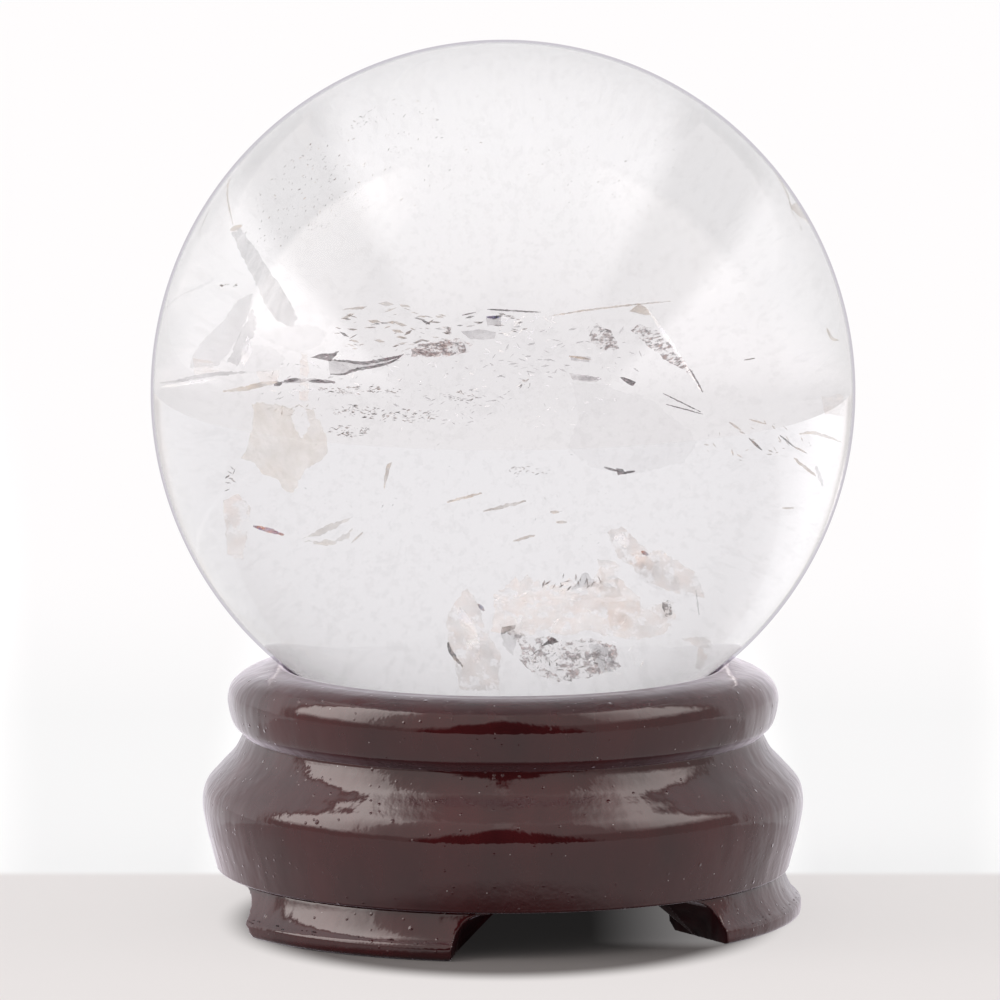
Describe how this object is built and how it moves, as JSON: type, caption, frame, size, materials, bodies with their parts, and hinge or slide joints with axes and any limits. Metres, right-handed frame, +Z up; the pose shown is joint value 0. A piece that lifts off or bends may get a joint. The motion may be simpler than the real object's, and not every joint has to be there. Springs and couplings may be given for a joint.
{
  "type": "crystal ball on stand",
  "caption": "Clear quartz sphere with natural inclusions, resting loose in a turned and lacquered wooden stand with sawn feet.",
  "frame": {"origin": "on the table, on the stand's turning axis, under the centre of the ball", "axes": "+Z up along the turning axis, -Y towards the viewer through the front, +X to the viewer's right"},
  "size_m": [0.07, 0.07, 0.0872],
  "materials": {
    "rock_crystal": "polished natural quartz with veils and flakes inside",
    "lacquered_wood": "dark maroon gloss lacquer with drips and dust specks"
  },
  "bodies": {
    "stand": {"rim_ring": "lacquered_wood", "bowl": "lacquered_wood", "foot_left": "lacquered_wood", "foot_right": "lacquered_wood", "foot_back": "lacquered_wood"},
    "ball": {"crystal_ball": "rock_crystal"}
  },
  "joints": [
    {"name": "ball_lift", "type": "slide", "parent": "stand", "child": "ball", "axis": [0, 0, 1], "range_m": [0, 0.05]}
  ]
}
